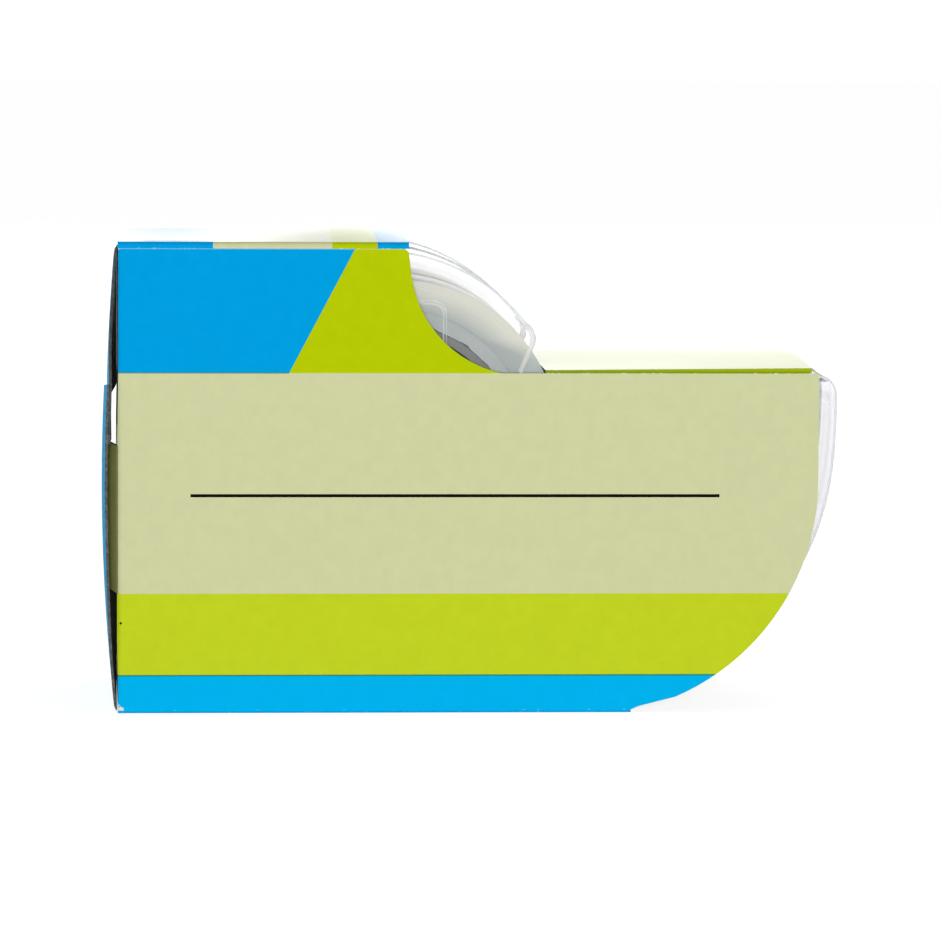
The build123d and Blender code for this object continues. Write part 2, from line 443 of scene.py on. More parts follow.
def makeTopCard():
    material, tree, shader = newMaterial("printedTopCard")
    u, y, z = placeOnCarton(tree)
    ink = frontPrint["blue"]
    for start, color in (("blueEnd", "beige"), ("beigeEnd", "lime"), ("limeEnd", "blue")):
        ink = mixColor(tree, calc(tree, "GREATER_THAN", u, topPrint[start]), ink, frontPrint[color])
    leftScuff = times(tree, ramp(tree, u, *topPrint["leftScuff"]), topPrint["leftShare"])
    scuff = calc(tree, "MAXIMUM", scuffFold(tree, z, topPrint), leftScuff)
    flat = ramp(tree, calc(tree, "ABSOLUTE", y), *topPrint["flat"])
    return finishCard(material, tree, shader, ink, scuff, times(tree, flat, fadeSheen(tree, u, topPrint)))


def makeShelfCard():
    material, tree, shader = newMaterial("printedShelfCard")
    u, y, z = placeOnCarton(tree)
    growth = shelfPrint["foldGrowth"] / shelfPrint["length"]
    foldTop = calc(tree, "MULTIPLY_ADD", u, growth, shelfPrint["foldTop"] - growth * shelfPrint["start"])
    flat = ramp(tree, calc(tree, "SUBTRACT", z, foldTop), *shelfPrint["flat"])
    sheen = times(tree, flat, fadeSheen(tree, y, shelfPrint))
    # the shelf's ink darkens towards its fold: painted shade
    ink = mixColor(tree, ramp(tree, z, *shelfPrint["foldShadeRun"]), frontPrint["lime"], frontPrint["foldShadeLime"])
    return finishCard(material, tree, shader, ink, scuffFold(tree, z, shelfPrint), sheen)


def makeBlueCard():
    material, tree, shader = newMaterial("printedBlueCard")
    _, _, z = placeOnCarton(tree)
    sheen = ramp(tree, z, *bluePrint["sheenRise"])
    return finishCard(material, tree, shader, frontPrint["lowBlue"], scuffFold(tree, z, bluePrint), sheen)


def makeTabCard():
    material, tree, shader = newMaterial("printedTabCard")
    return finishCard(material, tree, shader, frontPrint["tab"], 0.0)


# Uncoated board, on the cut edges and inside

boardLook = {
    "speckNoise": (2400, 6), "cloudNoise": (240, 3), "paleFrom": (0.35, 0.7), "cloudShare": 0.4,
    "grain": 0.6, "bump": 0.06 * mm, "roughness": 0.9, "specular": 0.2,
}
boardTones = {
    "cutEdgeBoard": (srgb(72, 76, 78), srgb(118, 122, 122)),
    # darker copy of the board for the inner flap's cut edge: painted shade of the gap it sits in
    "shadedInnerEdgeBoard": (srgb(62, 66, 66), srgb(96, 100, 99)),
    "insideBoard": (srgb(158, 160, 157), srgb(186, 187, 183)),
}


def makeBoard(name, dark, pale):
    material, tree, shader = newMaterial(name)
    speck = noise(tree, *boardLook["speckNoise"])
    cloud = noise(tree, *boardLook["cloudNoise"])
    color = mixColor(tree, ramp(tree, speck, *boardLook["paleFrom"]), dark, pale)
    color = mixColor(tree, times(tree, cloud, boardLook["cloudShare"]), color, dark)
    tree.links.new(color, shader.inputs["Base Color"])
    setBump(tree, shader, speck, boardLook["grain"], boardLook["bump"])
    shader.inputs["Roughness"].default_value = boardLook["roughness"]
    shader.inputs["Specular IOR Level"].default_value = boardLook["specular"]
    return material


frontCard = makeFrontCard()
topCard = makeTopCard()
shelfCard = makeShelfCard()
blueCard = makeBlueCard()
tabCard = makeTabCard()
boards = {name: makeBoard(name, *tones) for name, tones in boardTones.items()}
print("card materials made")


# Clear moulded plastic, with the faint flow waves of the mould, a pale painted reflection band on the nose,
# and duller where its walls are seen edge on

plasticIor = 1.45
clearLook = {
    "tint": srgb(252, 253, 255), "roughness": 0.02, "clear": 1.0, "body": 0.14, "shadow": 0.05,
    "waveNoise": (130, 2, (1, 0.4, 1)), "waveStrength": 0.2, "wave": 0.015 * mm,
}
noseBand = {  # painted reflection: the nose's own wall, seen through the plates, painted on as a pale lavender band
    "middle": (73.4, 45.35), "rise": (43.5, 44.0), "start": (108.0, 112.0),
    "tint": srgb(238, 235, 252), "body": 0.06,
}
dullCloud = (260, 3)
dullSpread = 0.2
dullLooks = {
    "clearEdge": {"tint": srgb(240, 244, 247), "roughness": 0.3, "clear": 0.15, "body": 0.7, "shadow": 0.05},
    "clearSide": {"tint": srgb(250, 252, 255), "roughness": 0.12, "clear": 0.9, "body": 0.3, "shadow": 0.05},
    "lipWall": {"tint": srgb(226, 227, 224), "roughness": 0.3, "clear": 0.2, "body": 0.6, "shadow": 0.05},
    # the hub is a grey, nearly opaque plastic: painted shade standing in for the dark inside of the bore
    "shadedHubPlastic": {"tint": srgb(150, 152, 150), "roughness": 0.4, "clear": 0.1, "body": 0.85, "shadow": 0.2},
}


def letLampThrough(tree, shader, look, veil=0.0):
    lightPath = newNode(tree, "ShaderNodeLightPath")
    change = look["shadow"] - look["body"]
    alpha = calc(tree, "MULTIPLY_ADD", lightPath.outputs["Is Shadow Ray"], change, look["body"])
    tree.links.new(calc(tree, "ADD", alpha, veil), shader.inputs["Alpha"])


def bandOnNose(tree):
    u, _, z = placeOnCarton(tree)
    middleU, middleZ = noseBand["middle"]
    radius = distance(tree, calc(tree, "SUBTRACT", u, middleU), calc(tree, "SUBTRACT", z, middleZ))
    return times(tree, ramp(tree, radius, *noseBand["rise"]), ramp(tree, u, *noseBand["start"]))


def makeClearPlastic():
    material, tree, shader = newMaterial("clearPlastic")
    wave = noise(tree, *clearLook["waveNoise"])
    setBump(tree, shader, wave, clearLook["waveStrength"], clearLook["wave"])
    band = bandOnNose(tree)
    tree.links.new(mixColor(tree, band, clearLook["tint"], noseBand["tint"]), shader.inputs["Base Color"])
    shader.inputs["Roughness"].default_value = clearLook["roughness"]
    shader.inputs["IOR"].default_value = plasticIor
    shader.inputs["Transmission Weight"].default_value = clearLook["clear"]
    letLampThrough(tree, shader, clearLook, times(tree, band, noseBand["body"]))
    return material


def makeDullPlastic(name, look):
    material, tree, shader = newMaterial(name)
    cloud = noise(tree, *dullCloud)
    setRoughness(tree, shader, cloud, dullSpread, look["roughness"] - 0.5 * dullSpread)
    shader.inputs["Base Color"].default_value = look["tint"]
    shader.inputs["IOR"].default_value = plasticIor
    shader.inputs["Transmission Weight"].default_value = look["clear"]
    letLampThrough(tree, shader, look)
    return material


# Wound tape: rings on the sides, painted shade towards the core and low on the right, gloss on the outside

tapeLook = {
    "side": srgb(236, 236, 224),
    "sideShade": srgb(186, 194, 191),
    "unshadedFrom": (20.5, 25.5),  # painted shade towards the core ends between these, mm from the middle
    "shadeBeside": (8.0, 12.0),  # a patch of painted shade low on the right, mm from the middle
    "shadeFoot": (0.0, 6.0),
    "shadeHead": (17.0, 12.5),
    "wobbleNoise": (60, 2),
    "wobble": 0.35,
    "ringScale": 5.2,
    "ringDetail": 6.0,
    "ringShade": (0.22, 0.88),
    "ringRough": (0.25, 0.22),
    "grain": 0.4,
    "bump": 0.03 * mm,
    "glow": 0.35,
    "glowDepth": 1.5 * mm,
    "glowRadius": (1.0, 1.0, 0.9),
    "specular": 0.35,
}
rollMiddle = {}
for name in ("near", "far"):
    low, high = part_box(f"{name}_tape_roll")
    rollMiddle[name] = 0.5 * (low + high)


def makeWoundTape(side):
    material, tree, shader = newMaterial(f"{side}WoundTape")
    coordinates = newNode(tree, "ShaderNodeTexCoord")
    away = newNode(tree, "ShaderNodeVectorMath", operation="SUBTRACT")
    away.inputs[1].default_value = rollMiddle[side]
    tree.links.new(coordinates.outputs["Object"], away.inputs[0])
    split = newNode(tree, "ShaderNodeSeparateXYZ")
    tree.links.new(away.outputs["Vector"], split.inputs["Vector"])
    across = times(tree, split.outputs["X"], 1 / mm)
    height = times(tree, split.outputs["Z"], 1 / mm)
    radius = distance(tree, across, height)
    wobble = noise(tree, *tapeLook["wobbleNoise"])
    turns = calc(tree, "MULTIPLY_ADD", wobble, tapeLook["wobble"], radius)
    ringNoise = newNode(tree, "ShaderNodeTexNoise", noise_dimensions="1D")
    ringNoise.inputs["Scale"].default_value = tapeLook["ringScale"]
    ringNoise.inputs["Detail"].default_value = tapeLook["ringDetail"]
    tree.links.new(turns, ringNoise.inputs["W"])
    rings = ringNoise.outputs["Fac"]
    # the cool tone is painted shade: towards the core, and in a patch low on the right that turns with the
    # roll
    beside = ramp(tree, across, *tapeLook["shadeBeside"])
    aboveFoot = ramp(tree, height, *tapeLook["shadeFoot"])
    belowHead = ramp(tree, height, *tapeLook["shadeHead"])
    shadePatch = times(tree, times(tree, aboveFoot, belowHead), beside)
    unshaded = calc(tree, "SUBTRACT", ramp(tree, radius, *tapeLook["unshadedFrom"]), shadePatch)
    tone = mixColor(tree, calc(tree, "MAXIMUM", unshaded, 0.0), tapeLook["sideShade"], tapeLook["side"])
    color = scaleColor(tree, tone, calc(tree, "MULTIPLY_ADD", rings, *tapeLook["ringShade"]))
    tree.links.new(color, shader.inputs["Base Color"])
    setBump(tree, shader, rings, tapeLook["grain"], tapeLook["bump"])
    setRoughness(tree, shader, rings, *tapeLook["ringRough"])
    shader.inputs["Subsurface Weight"].default_value = tapeLook["glow"]
    shader.inputs["Subsurface Scale"].default_value = tapeLook["glowDepth"]
    shader.inputs["Subsurface Radius"].default_value = tapeLook["glowRadius"]
    shader.inputs["Specular IOR Level"].default_value = tapeLook["specular"]
    return material


# Cloudy looks: two tones, and a roughness, that follow one noise

cloudLooks = {
    "rollOutside": {
        "tones": (srgb(244, 243, 234), srgb(250, 249, 243)), "noise": (200, 3), "rough": (0.1, 0.25),
    },
    "tapeFilm": {
        "tones": (srgb(232, 232, 222), srgb(244, 244, 238)), "noise": (300, 4), "rough": (0.15, 0.12),
    },
    "coreBoard": {
        "tones": (srgb(180, 188, 186), srgb(192, 199, 196)), "noise": (500, 5), "rough": (0.2, 0.4),
    },
    "cutterSteel": {
        "tones": (srgb(150, 151, 154), srgb(196, 197, 200)), "noise": (900, 4, (1, 0.03, 1)),
        "rough": (0.25, 0.18),
    },
}
outsideGlow = {"weight": 0.5, "depth": 3.0 * mm, "specular": 0.25}
filmClear = {"clear": 0.75, "ior": 1.47}
coreGrain = {"strength": 0.3, "depth": 0.03 * mm}


def makeCloudy(name):
    look = cloudLooks[name]
    material, tree, shader = newMaterial(name)
    cloud = noise(tree, *look["noise"])
    tree.links.new(mixColor(tree, cloud, *look["tones"]), shader.inputs["Base Color"])
    setRoughness(tree, shader, cloud, *look["rough"])
    return material, tree, shader, cloud


def makeRollOutside():
    # the smooth outer turn of the tape
    material, _, shader, _ = makeCloudy("rollOutside")
    shader.inputs["Specular IOR Level"].default_value = outsideGlow["specular"]
    shader.inputs["Subsurface Weight"].default_value = outsideGlow["weight"]
    shader.inputs["Subsurface Scale"].default_value = outsideGlow["depth"]
    return material


def makeTapeFilm():
    material, _, shader, _ = makeCloudy("tapeFilm")
    shader.inputs["Transmission Weight"].default_value = filmClear["clear"]
    shader.inputs["IOR"].default_value = filmClear["ior"]
    return material


def makeCoreBoard():
    material, tree, shader, cloud = makeCloudy("coreBoard")
    setBump(tree, shader, cloud, coreGrain["strength"], coreGrain["depth"])
    return material


def makeCutterSteel():
    material, _, shader, _ = makeCloudy("cutterSteel")
    shader.inputs["Metallic"].default_value = 1.0
    return material


clearPlastic = makeClearPlastic()
dullPlastics = {name: makeDullPlastic(name, look) for name, look in dullLooks.items()}
woundTape = {side: makeWoundTape(side) for side in ("near", "far")}
rollOutside = makeRollOutside()
tapeFilm = makeTapeFilm()
coreBoard = makeCoreBoard()
cutterSteel = makeCutterSteel()
print("dispenser materials made")


# Carton panels: printed outside, grey board inside and on the cut edges

cartonPieces = {
    "frontPanel": {"node": "front_panel", "body": "carton", "slot": "card_beige", "print": frontCard},
    "backPanel": {"node": "back_panel", "body": "carton", "slot": "card_beige", "print": frontCard},
    "topPanel": {"node": "top_panel", "body": "carton", "slot": "card_lime", "print": topCard},
    "shelfPanel": {"node": "shelf_panel", "body": "carton", "slot": "card_lime", "print": shelfCard},
    "basePanel": {"node": "base_panel", "body": "carton", "slot": "card_blue", "print": blueCard},
    "frontSideTab": {"node": "front_side_tab", "body": "carton", "slot": "card_beige", "print": tabCard},
    "backSideTab": {"node": "back_side_tab", "body": "carton", "slot": "card_beige", "print": tabCard},
    "outerEndFlap": {"node": "outer_end_flap", "body": "outer_flap", "slot": "card_blue", "print": blueCard},
    "innerEndFlap": {"node": "inner_end_flap", "body": "inner_flap", "slot": "card_blue", "print": blueCard},
}
sidePanels = ("frontPanel", "backPanel")
flatPanels = ("topPanel", "shelfPanel", "basePanel")
faceTurn = 0.6  # a normal this far along a direction faces that way

# End flaps curl in along their front edges, and at the back they are pressed against the back panel
flapBends = {
    "outerEndFlap": {
        "hinge": 0.3, "edgePull": 0.5, "flare": 0.0,
        "pressed": 19.0, "free": 43.0, "backDrop": 4.0, "frontLift": 0.0,
    },
    "innerEndFlap": {
        "hinge": 77.3, "edgePull": 0.2, "flare": 0.2,
        "pressed": 51.4, "free": 50.6, "backDrop": 0.0, "frontLift": 3.0,
    },
}
flapShape = {
    "columns": 20, "rows": 39, "hingeRows": 4, "hingeStep": 0.3 * mm, "hingePrint": 0.4,
    "curlFrom": 0.8, "curlWidth": 0.2, "curlPower": 1.5, "pullRun": (0.5, 30.0),
    "flareRise": (44.5, 53.0), "flareFall": (55.0, 61.0),  # the inner flap is pulled in above its free end
    "lean": 0.5 * mm, "leanRun": (0.5, 12.0), "leanAcross": (-0.85, 0.9),  # the back edge lies further in
    "pressAcross": (-0.6, 0.97), "clearance": 0.02 * mm,
    "creaseHeight": 1.2, "creaseDepth": 0.42 * mm, "skin": 0.2 * mm,  # the outside turns in to the hinge
    "slantFrom": 0.74,
}
rowStep = 2 * mm
tabLeans = {"frontSideTab": 0.75 * mm, "backSideTab": -1.7 * mm}  # how far the tips lean out beyond the CAD

# Left edges of the front and back panels turn in, and stand out where the side tabs fold off them
panelCurl = {
    "width": 1.0 * mm, "columns": 5, "rows": 29, "depth": 0.3 * mm, "bulge": 0.15 * mm,
    "rise": (3.0, 14.0), "fall": (44.0, 55.0),
}
endReach = {"topPanel": 0.1 * mm, "shelfPanel": 0.35 * mm}  # left ends: to the flap's crease, to the roll
endMargin = 0.05 * mm


def isPrinted(name, face):
    normal = face.normal
    turnsLeft = normal.x < -faceTurn
    if name.endswith("Tab"):
        return turnsLeft
    if name in flapBends:  # the print runs round the hinge crease
        atHinge = abs(face.center.z / mm - flapBends[name]["hinge"]) < flapShape["hingePrint"]
        return turnsLeft or atHinge
    if name in sidePanels:  # and over the left edge
        return turnsLeft or (normal.y * face.center.y > 0 and abs(normal.y) > faceTurn)
    if name == "topPanel" and turnsLeft:
        return True
    outward = Vector((0, face.center.y, face.center.z - midHeight))
    return normal.dot(outward) > 0 and abs(normal.x) < faceTurn


def isInside(name, face):
    if name in flapBends:
        return face.normal.x > faceTurn
    if name in flatPanels:
        inward = Vector((0, 0, midHeight - face.center.z))
    elif name.endswith("Tab"):
        inward = Vector((-face.center.x, 0, 0))
    else:
        inward = Vector((0, -face.center.y, 0))
    return face.normal.dot(inward.normalized()) > faceTurn


def pressShare(level, spec):
    # 1 where the flap is pressed against the back panel, 0 where it is free
    if spec["free"] < spec["pressed"]:
        return slide(level, spec["free"], spec["pressed"])
    return 1.0 - slide(level, spec["pressed"], spec["free"])


def cutFlap(piece, spec, halfWidth):
    columns = flapShape["columns"]
    hingeRows = flapShape["hingeRows"]
    hinge = spec["hinge"] * mm
    cutAcross(piece, (0, 1, 0), [halfWidth * step / columns for step in range(1 - columns, columns)])
    cutAcross(piece, (0, 0, 1), [step * rowStep for step in range(1, flapShape["rows"])])
    cutAcross(piece, (0, 0, 1), [spec["pressed"] * mm, spec["free"] * mm])
    cutAcross(
        piece, (0, 0, 1),
        [hinge + step * flapShape["hingeStep"] for step in range(-hingeRows, hingeRows + 1)],
    )


def bendFlap(piece, spec):
    shape = flapShape
    halfWidth = max(vertex.co.y for vertex in piece.data.vertices)
    cutFlap(piece, spec, halfWidth)
    reach = max(abs(vertex.co.z / mm - spec["hinge"]) for vertex in piece.data.vertices)
    insideAt = {}
    for vertex in piece.data.vertices:
        level = round(vertex.co.z / mm, 2)
        insideAt[level] = max(insideAt.get(level, -1.0), vertex.co.x)
    for vertex in piece.data.vertices:
        level = round(vertex.co.z / mm, 2)
        fromHinge = abs(level - spec["hinge"])
        across = vertex.co.y / halfWidth  # -1 at the front edge, 1 at the back
        edge = max((-across - shape["curlFrom"]) / shape["curlWidth"], 0.0) ** shape["curlPower"]
        flare = spec["flare"] * slide(level, *shape["flareRise"]) * (1.0 - slide(level, *shape["flareFall"]))
        pull = (spec["edgePull"] + flare) * mm * edge * slide(fromHinge, *shape["pullRun"])
        back = slide(across, *shape["pressAcross"])
        lean = shape["lean"] * slide(fromHinge, *shape["leanRun"]) * slide(across, *shape["leanAcross"])
        gap = max(panelLeft - shape["clearance"] - insideAt[level] - pull - lean, 0.0)
        crease = 0.0
        if vertex.co.x < insideAt[level] - shape["skin"]:
            crease = shape["creaseDepth"] * max(1.0 - fromHinge / shape["creaseHeight"], 0.0) ** 2
        vertex.co.x += pull + lean + gap * pressShare(level, spec) * back + crease
        share = slide(fromHinge, shape["slantFrom"] * reach, reach) * mm
        backShare = 0.5 + 0.5 * across
        vertex.co.z += share * (spec["frontLift"] * (1.0 - backShare) - spec["backDrop"] * backShare)


def leanTab(piece, lean):
    root = max(abs(vertex.co.y) for vertex in piece.data.vertices)
    reach = min(abs(vertex.co.y) for vertex in piece.data.vertices)
    for vertex in piece.data.vertices:
        share = (root - abs(vertex.co.y)) / (root - reach)
        vertex.co.x -= lean * share + panelCurl["bulge"] * (1.0 - share)


def curlPanel(piece):
    inward = -1 if piece.data.vertices[0].co.y > 0 else 1
    columns = panelCurl["columns"]
    cutAcross(
        piece, (1, 0, 0),
        [panelLeft + panelCurl["width"] * step / columns for step in range(1, columns + 1)],
    )
    cutAcross(piece, (0, 0, 1), [step * rowStep for step in range(1, panelCurl["rows"])])
    for vertex in piece.data.vertices:
        share = max(1.0 - (vertex.co.x - panelLeft) / panelCurl["width"], 0.0)
        height = vertex.co.z / mm
        fold = slide(height, *panelCurl["rise"]) * (1.0 - slide(height, *panelCurl["fall"]))
        vertex.co.y += inward * panelCurl["depth"] * (1.0 + fold) * share ** 3
        vertex.co.x -= panelCurl["bulge"] * fold * share ** 2


def stretchEnd(piece, reach):
    left = min(vertex.co.x for vertex in piece.data.vertices)
    for vertex in piece.data.vertices:
        if vertex.co.x < left + endMargin:
            vertex.co.x -= reach


def makeCartonPiece(name, spec):
    piece = cleanCopy(spec["node"], name)
    if name in flapBends:
        bendFlap(piece, flapBends[name])
    if name in tabLeans:
        leanTab(piece, tabLeans[name])
    if name in endReach:
        stretchEnd(piece, endReach[name])
    if name in sidePanels:
        curlPanel(piece)
    piece.data.materials.append(spec["print"])
    piece.data.materials.append(boards["shadedInnerEdgeBoard" if name == "innerEndFlap" else "cutEdgeBoard"])
    piece.data.materials.append(boards["insideBoard"])
    for face in piece.data.polygons:
        if isPrinted(name, face):
            face.material_index = 0
        else:
            face.material_index = 2 if isInside(name, face) else 1
    smoothByAngle(piece, smoothAngles["card"])
    if name in flatPanels:  # keeps the flats flat beside their folds
        applyModifier(piece, "WEIGHTED_NORMAL", weight=100, keep_sharp=True)
    settle(piece, spec["body"], spec["slot"], spec["node"])


for name, spec in cartonPieces.items():
    makeCartonPiece(name, spec)
print("carton made")


# Clear dispensers

shellSpec = {
    "edgeRound": 0.42 * mm, "slitShare": 0.3, "edgeSegments": 3,
    "capTurn": 0.95, "edgeTurn": 0.985, "sideTurn": 0.35,
    "seam": 0.04 * mm, "seamDepth": 0.1 * mm,
    "tongue": ((38.0, 54.6), (36.0, 68.6)),
}
lipSpec = {
    "outline": ((66.5, 56.1), (68.2, 60.2), (68.6, 61.9), (68.1, 63.2), (67.15, 64.4)), "width": 0.85 * mm,
}
hubSwell = {
    "loops": (0.45 * mm, 1.0 * mm, 1.5 * mm), "from": 0.3 * mm, "to": 1.2 * mm, "radius": 19.0 * mm,
    "skin": 0.1 * mm,
}
stripSpec = {"lift": 0.03 * mm, "skin": 0.01 * mm}


def isOnTongue(place):
    (left, right), (low, high) = shellSpec["tongue"]
    return left < (place.x - panelLeft) / mm < right and low < place.z / mm < high


def roundOutline(plate):
    # full round along the outline, a finer one along the slit of the tongue
    mesh = plate.data
    capEdges = {}
    for face in mesh.polygons:
        if abs(face.normal.y) > shellSpec["capTurn"]:
            for key in face.edge_keys:
                capEdges[key] = capEdges.get(key, 0) + 1
    weights = mesh.attributes.new("bevel_weight_edge", "FLOAT", "EDGE")
    for edge in mesh.edges:
        start, end = (mesh.vertices[index].co for index in edge.vertices)
        isRim = capEdges.get(edge.key, 0) == 1  # a cap on one side only
        share = shellSpec["slitShare"] if isOnTongue(0.5 * (start + end)) else 1.0
        weights.data[edge.index].value = share if isRim else 0.0
    applyModifier(
        plate, "BEVEL", width=shellSpec["edgeRound"], segments=shellSpec["edgeSegments"],
        limit_method="WEIGHT",
    )


def makePlate(side, label):
    plate = cleanCopy(f"{side}_{label}", f"{side}_{label}_copy")
    roundOutline(plate)
    plate.data.materials.append(clearPlastic)
    plate.data.materials.append(dullPlastics["clearEdge"])
    plate.data.materials.append(dullPlastics["clearSide"])
    for face in plate.data.polygons:
        turned = abs(face.normal.y)
        if turned < shellSpec["sideTurn"]:
            face.material_index = 2
        else:
            face.material_index = 1 if turned < shellSpec["edgeTurn"] else 0
    return plate


def awayFromAxis(place, side):
    return math.hypot(place.x - rollMiddle[side].x, place.z - rollMiddle[side].z)


def growFromAxis(vertex, side, grow):
    vertex.co.x = rollMiddle[side].x + (vertex.co.x - rollMiddle[side].x) * grow
    vertex.co.z = rollMiddle[side].z + (vertex.co.z - rollMiddle[side].z) * grow


def swellHub(hub, side):
    # a low bead round the near end of the hub, under the lip of the core
    front = min(vertex.co.y for vertex in hub.data.vertices)
    wide = max(awayFromAxis(vertex.co, side) for vertex in hub.data.vertices)
    cutAcross(hub, (0, 1, 0), [front + loop for loop in hubSwell["loops"]])
    for vertex in hub.data.vertices:
        away = awayFromAxis(vertex.co, side)
        if hubSwell["from"] < vertex.co.y - front < hubSwell["to"] and away > wide - hubSwell["skin"]:
            growFromAxis(vertex, side, hubSwell["radius"] / away)


def makeCase(side):
    # back plate, rim and hub as one moulding
    case = makePlate(side, "back_plate")
    case.name = f"{side}Case"
    rim = cleanCopy(f"{side}_rim", f"{side}RimCopy")
    rim.data.materials.append(clearPlastic)
    front = min(vertex.co.y for vertex in rim.data.vertices)
    for vertex in rim.data.vertices:
        if vertex.co.y < front + shellSpec["seamDepth"]:
            vertex.co.y += shellSpec["seam"]
    joinSolid(case, rim)
    hub = cleanCopy(f"{side}_hub", f"{side}HubCopy")
    swellHub(hub, side)
    hub.data.materials.append(dullPlastics["shadedHubPlastic"])
    joinSolid(case, hub)
    smoothByAngle(case, smoothAngles["plastic"])
    nodes = [f"{side}_{label}" for label in ("back_plate", "rim", "hub")]
    settle(case, f"{side}_dispenser", "clear_plastic", *nodes)


def paleLip(cover):
    # the wall behind the plate is painted on the cover as a pale band round the lip: a painted reflection of
    # the wall seen edge on
    width = lipSpec["width"]
    places = [Vector((u * mm + panelLeft, 0, z * mm)) for u, z in lipSpec["outline"]]
    spans = []
    for foot, head in zip(places, places[1:]):
        along = (head - foot).normalized()
        leftward = Vector((-along.z, 0, along.x))
        cutAcross(cover, leftward, [foot.dot(leftward) + width])
        cutAcross(cover, along, [foot.dot(along), head.dot(along)])
        spans.append((along, foot.dot(along), head.dot(along), leftward, foot.dot(leftward)))
    for along, start, end, leftward, line in spans:
        for face in cover.data.polygons:
            isAlong = start < face.center.dot(along) < end
            if isAlong and abs(face.center.dot(leftward) - line) < width:
                face.material_index = 3


def makeCover(side):
    cover = makePlate(side, "cover_plate")
    cover.data.materials.append(dullPlastics["lipWall"])
    paleLip(cover)
    cover.name = f"{side}Cover"
    smoothByAngle(cover, smoothAngles["plastic"])
    settle(cover, f"{side}_dispenser", "clear_plastic", f"{side}_cover_plate")


def makeThinStrip(side, label, name, material, slot):
    # lifted a hair off the plastic that it lies on
    strip = cleanCopy(f"{side}_{label}", name)
    low = min(vertex.co.z for vertex in strip.data.vertices)
    for vertex in strip.data.vertices:
        if vertex.co.z < low + stripSpec["skin"]:
            vertex.co.z += stripSpec["lift"]
    strip.data.materials.append(material)
    settle(strip, f"{side}_dispenser", slot, f"{side}_{label}")


# Rings of the roll

ringSpecs = {
    "core": {"facets": 180, "edge": 0.004 * mm, "rings": 1, "ripple": 0.0, "slot": "roll_core"},
    "tape_roll": {"facets": 192, "edge": 0.004 * mm, "rings": 9, "ripple": 0.025 * mm, "slot": "tape_film"},
}
ringRound = {"segments": 2, "angle": 50}
rippleTurn = (2.4, 1.0)  # how the ripple goes on from ring to ring, and where it starts
outerSkin = 0.05 * mm
coreBore = 19.05 * mm
coreLip = {  # pale uneven lip of the bore: its pale clearEdge look is a painted highlight
    "width": 0.3 * mm, "inset": 0.29 * mm, "wave": 0.17 * mm, "waves": 21,
    "fineWaves": 34, "fineStart": 1.0, "fineShare": 0.4,
}


def isCap(facets):
    return lambda face: len(face.vertices) == facets


def waveLip(ring, side, limit):
    for vertex in ring.data.vertices:
        away = awayFromAxis(vertex.co, side)
        if vertex.co.y < rollMiddle[side].y and away < limit + outerSkin:
            turn = math.atan2(vertex.co.z - rollMiddle[side].z, vertex.co.x - rollMiddle[side].x)
            fine = coreLip["fineShare"] * math.sin(coreLip["fineWaves"] * turn + coreLip["fineStart"])
            swell = 1.0 + math.sin(coreLip["waves"] * turn) + fine
            growFromAxis(vertex, side, 1.0 + (coreLip["wave"] * max(swell, 0.0) - coreLip["inset"]) / away)


def makeRing(side, label, name, material, bore):
    spec = ringSpecs[label]
    low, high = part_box(f"{side}_{label}")
    outer = 0.5 * (high.x - low.x)
    bpy.ops.object.mode_set(mode="OBJECT")
    deselectAll()
    bpy.ops.mesh.primitive_cylinder_add(
        vertices=spec["facets"], radius=outer, depth=high.y - low.y,
        location=0.5 * (low + high), rotation=(math.pi / 2, 0, 0),
    )
    ring = bpy.context.active_object
    ring.name = name
    bpy.ops.object.transform_apply(location=True, rotation=True, scale=True)
    lip = coreLip["width"] if label == "core" else 0.0
    steps = [(outer - bore - spec["edge"] - lip) / spec["rings"]] * spec["rings"]
    if lip:
        steps.append(lip)
    for turn, step in enumerate(steps):
        selectFaces(ring, isCap(spec["facets"]))
        depth = spec["ripple"] * math.sin(rippleTurn[0] * turn + rippleTurn[1])
        bpy.ops.mesh.inset(thickness=step, depth=depth, use_individual=True)
        bpy.ops.object.mode_set(mode="OBJECT")
    selectFaces(ring, isCap(spec["facets"]))
    bpy.ops.mesh.bridge_edge_loops()
    bpy.ops.object.mode_set(mode="OBJECT")
    applyModifier(
        ring, "BEVEL", width=spec["edge"], segments=ringRound["segments"],
        limit_method="ANGLE", angle_limit=math.radians(ringRound["angle"]),
    )
    ring.data.materials.append(material)
    # the core's bore lip takes the pale clearEdge plastic: a painted highlight
    ring.data.materials.append(rollOutside if label == "tape_roll" else dullPlastics["clearEdge"])
    for face in ring.data.polygons:
        away = awayFromAxis(face.center, side)
        if label == "tape_roll":
            chosen = away > outer - outerSkin and abs(face.normal.y) < 0.5
        else:
            chosen = away < bore + spec["edge"] + lip and face.normal.y < -0.5
        face.material_index = 1 if chosen else 0
    if lip:
        waveLip(ring, side, bore + spec["edge"] + lip)
    smoothByAngle(ring, smoothAngles["ring"])
    settle(ring, f"{side}_roll", spec["slot"], f"{side}_{label}")


def boreOf(side):
    # the wound tape starts where the core ends
    low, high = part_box(f"{side}_core")
    return 0.5 * (high.x - low.x)


for side in ("near", "far"):
    makeCase(side)
    makeCover(side)
    makeThinStrip(side, "cutter", f"{side}Cutter", cutterSteel, "cutter_steel")
    makeThinStrip(side, "tape_tail", f"{side}TapeTail", tapeFilm, "tape_film")
    makeRing(side, "core", f"{side}Core", coreBoard, coreBore)
    makeRing(side, "tape_roll", f"{side}TapeRoll", woundTape[side], boreOf(side))
    print(side, "dispenser made")


# Floor, light and camera

